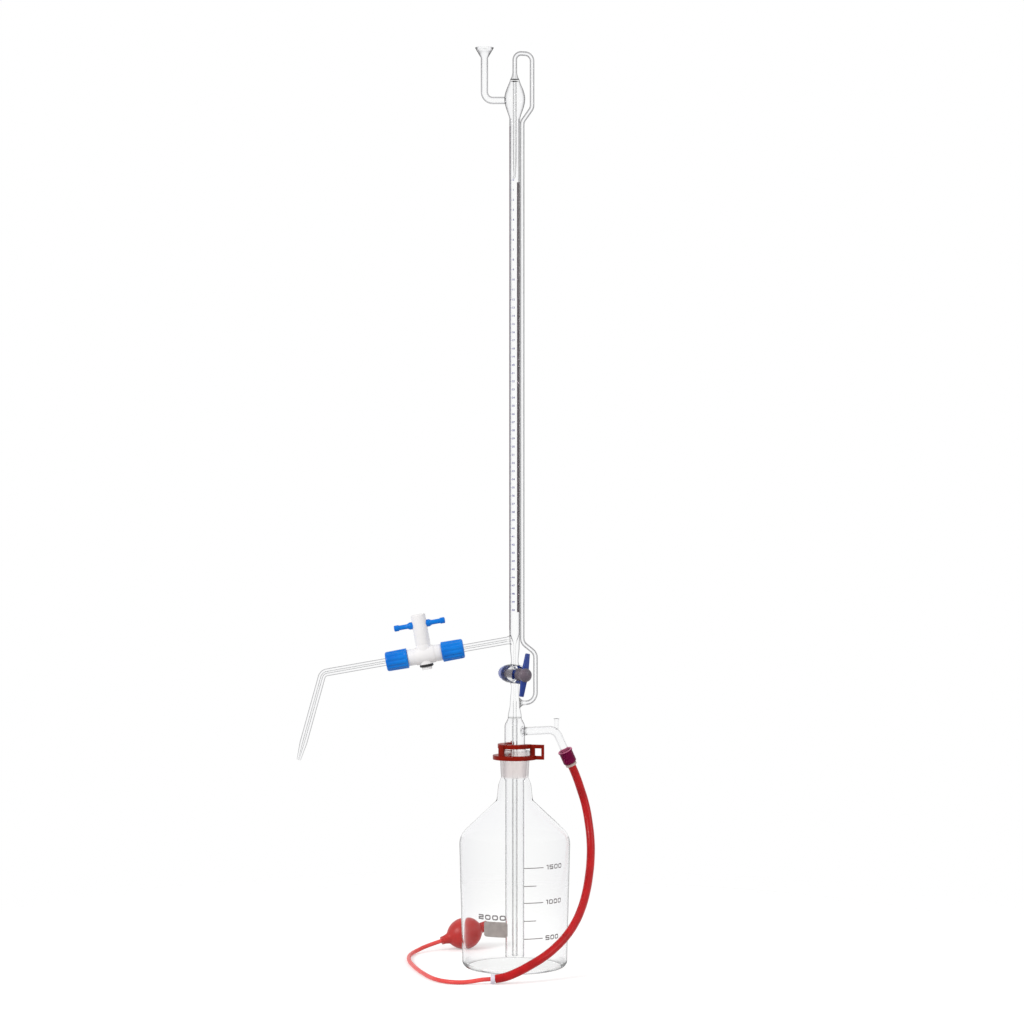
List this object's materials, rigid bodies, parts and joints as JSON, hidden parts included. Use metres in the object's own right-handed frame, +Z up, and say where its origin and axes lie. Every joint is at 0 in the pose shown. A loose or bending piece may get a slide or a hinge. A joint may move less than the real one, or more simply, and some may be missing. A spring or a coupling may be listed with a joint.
{
  "type": "automatic zero burette",
  "caption": "Tall glass burette on a reservoir bottle, filled to zero by squeezing a rubber bulb, with a side delivery valve and jet, a drain stopcock and a vented overflow bulb.",
  "frame": {"origin": "middle of the bottle's base, on the bench", "axes": "+Z up along the burette, +X to the right as the scale is read, +Y away from the reader"},
  "size_m": [0.3586, 0.2668, 1.1024],
  "materials": {
    "bottle_glass": "clear blown glass with a ground socket",
    "burette_glass": "clear drawn glass with a ground cone",
    "clip_plastic": "brick red moulded",
    "stripe_enamel": "fired enamel line",
    "key_ground": "ground glass key",
    "drain_handle_plastic": "navy moulded",
    "white_plastic": "white slippery plastic, turned",
    "black_rubber": "matt black",
    "blue_plastic": "bright blue moulded",
    "cap_plastic": "plum red moulded",
    "collar_plastic": "off-white moulded",
    "hose_rubber": "brick red smooth hose",
    "tube_rubber": "salmon pink tube",
    "joiner_plastic": "pale lilac moulded",
    "bulb_rubber": "red moulded rubber",
    "ball_plastic": "white polished ball"
  },
  "bodies": {
    "bottle": {"reservoir_bottle": "bottle_glass"},
    "clip": {"joint_clip": "clip_plastic"},
    "burette": {"joint_head": "burette_glass", "dip_tube": "burette_glass", "drain_barrel": "burette_glass", "burette_tube": "burette_glass", "reading_stripe": "stripe_enamel", "overflow_bulb": "burette_glass", "zero_nozzle": "burette_glass", "vent_funnel": "burette_glass", "fill_tube": "burette_glass", "delivery_arm": "burette_glass", "pressure_arm": "burette_glass", "valve_body": "white_plastic", "delivery_jet": "burette_glass", "hose_nozzle": "collar_plastic", "pressure_hose": "hose_rubber", "hose_joiner": "joiner_plastic", "bulb_tube": "tube_rubber", "squeeze_bulb": "bulb_rubber", "inlet_valve": "collar_plastic"},
    "drain_key": {"drain_key": "key_ground", "drain_handle": "drain_handle_plastic"},
    "drain_washer": {"drain_washer": "white_plastic", "drain_oring": "black_rubber"},
    "drain_nut": {"drain_nut": "blue_plastic"},
    "valve_plug": {"valve_plug": "white_plastic", "valve_handle": "blue_plastic", "valve_oring": "black_rubber"},
    "valve_nut": {"valve_nut": "white_plastic"},
    "inlet_seal": {"inlet_seal": "black_rubber"},
    "inlet_cap": {"inlet_cap": "blue_plastic"},
    "outlet_seal": {"outlet_seal": "black_rubber"},
    "outlet_cap": {"outlet_cap": "blue_plastic"},
    "pressure_seal": {"pressure_seal": "black_rubber"},
    "pressure_cap": {"pressure_cap": "cap_plastic"},
    "inlet_ball": {"inlet_ball": "ball_plastic"}
  },
  "joints": [
    {"name": "burette_swivel", "type": "hinge", "parent": "bottle", "child": "burette", "pos_m": [0, 0, 0.2588], "axis": [0, 0, 1], "continuous": true},
    {"name": "clip_turn", "type": "hinge", "parent": "bottle", "child": "clip", "pos_m": [0, 0, 0.2588], "axis": [0, 0, 1], "continuous": true},
    {"name": "drain_key_turn", "type": "hinge", "parent": "burette", "child": "drain_key", "pos_m": [0, 0, 0.3509], "axis": [0.4695, -0.8829, 0], "continuous": true},
    {"name": "drain_washer_slide", "type": "slide", "parent": "drain_key", "child": "drain_washer", "axis": [-0.4695, 0.8829, 0], "range_m": [0, 0.0015]},
    {"name": "drain_nut_turn", "type": "hinge", "parent": "drain_washer", "child": "drain_nut", "pos_m": [0, 0, 0.3509], "axis": [-0.4695, 0.8829, 0], "range_deg": [0, 360]},
    {"name": "valve_plug_turn", "type": "hinge", "parent": "burette", "child": "valve_plug", "pos_m": [-0.10784, 0, 0.37369], "axis": [-0.1736, 0, 0.9848], "continuous": true},
    {"name": "valve_nut_turn", "type": "hinge", "parent": "valve_plug", "child": "valve_nut", "pos_m": [-0.10784, 0, 0.37369], "axis": [0.1736, 0, -0.9848], "range_deg": [0, 360]},
    {"name": "inlet_seal_slide", "type": "slide", "parent": "burette", "child": "inlet_seal", "axis": [0.9848, 0, 0.1736], "range_m": [0, 0.003]},
    {"name": "inlet_cap_turn", "type": "hinge", "parent": "inlet_seal", "child": "inlet_cap", "pos_m": [-0.10784, 0, 0.37369], "axis": [0.9848, 0, 0.1736], "range_deg": [0, 360]},
    {"name": "outlet_seal_slide", "type": "slide", "parent": "burette", "child": "outlet_seal", "axis": [-0.9848, 0, -0.1736], "range_m": [0, 0.003]},
    {"name": "outlet_cap_turn", "type": "hinge", "parent": "outlet_seal", "child": "outlet_cap", "pos_m": [-0.10784, 0, 0.37369], "axis": [-0.9848, 0, -0.1736], "range_deg": [0, 360]},
    {"name": "pressure_seal_slide", "type": "slide", "parent": "burette", "child": "pressure_seal", "axis": [0.3932, 0.227, -0.891], "range_m": [0, 0.000625]},
    {"name": "pressure_cap_turn", "type": "hinge", "parent": "pressure_seal", "child": "pressure_cap", "pos_m": [0.05348, 0.03088, 0.27296], "axis": [0.3932, 0.227, -0.891], "range_deg": [0, 90]},
    {"name": "inlet_ball_slide", "type": "slide", "parent": "burette", "child": "inlet_ball", "axis": [0.8964, 0.3713, 0.2419], "range_m": [0, 0.0012]}
  ],
  "couplings": [
    {"joint": "drain_washer_slide", "follows": "drain_nut_turn", "m_per_rad": 0.0002387},
    {"joint": "inlet_seal_slide", "follows": "inlet_cap_turn", "m_per_rad": 0.000477},
    {"joint": "outlet_seal_slide", "follows": "outlet_cap_turn", "m_per_rad": 0.000477},
    {"joint": "pressure_seal_slide", "follows": "pressure_cap_turn", "m_per_rad": 0.000397}
  ]
}
